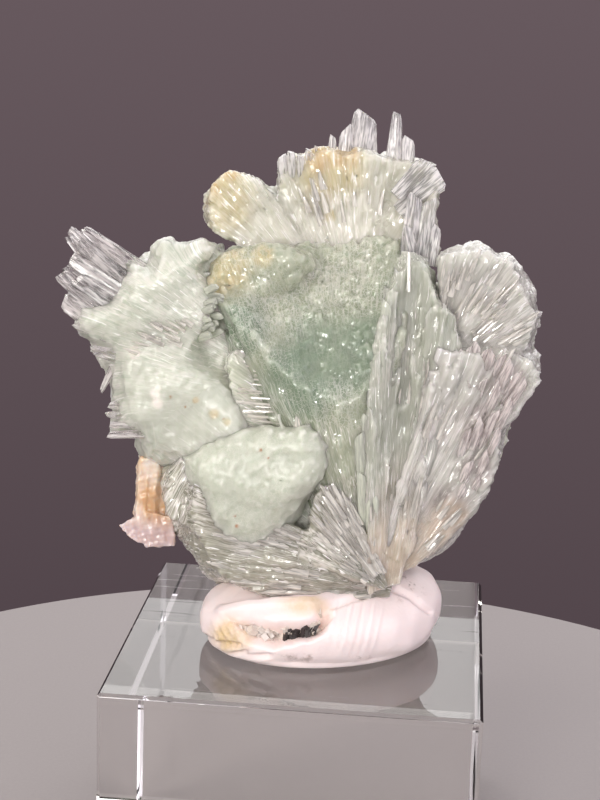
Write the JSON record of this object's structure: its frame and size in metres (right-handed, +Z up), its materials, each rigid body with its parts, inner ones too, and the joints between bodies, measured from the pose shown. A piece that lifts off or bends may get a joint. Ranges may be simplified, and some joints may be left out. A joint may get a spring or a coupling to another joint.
{
  "type": "aragonite mineral specimen",
  "caption": "Pale mint aragonite, fans of bladed crystals grown together with peach calcite, held upright in a saddle of white tack on a clear acrylic display block.",
  "frame": {"origin": "middle of the acrylic block's underside", "axes": "+Z up through the specimen, -Y towards the side that is shown, +X to its right"},
  "size_m": [0.0539, 0.04, 0.0835],
  "materials": {
    "acrylic": "clear cast acrylic, sawn square and polished, with a few fine scratches",
    "white_tack": "soft mineral tack, finger-smoothed, with stretch wrinkles and tan dust",
    "stony_matrix": "crumbly tan and white matrix with black streaks",
    "mint_aragonite": "translucent mint to clear crystal, cream and ochre at some tips, glassy lustre",
    "peach_calcite": "translucent peach crystal with a pearly lavender face"
  },
  "bodies": {
    "root": {"acrylic_block": "acrylic", "mineral_tack": "white_tack", "matrix_stone": "stony_matrix", "aragonite_cluster": "mint_aragonite", "calcite_crystals": "peach_calcite"}
  },
  "joints": []
}
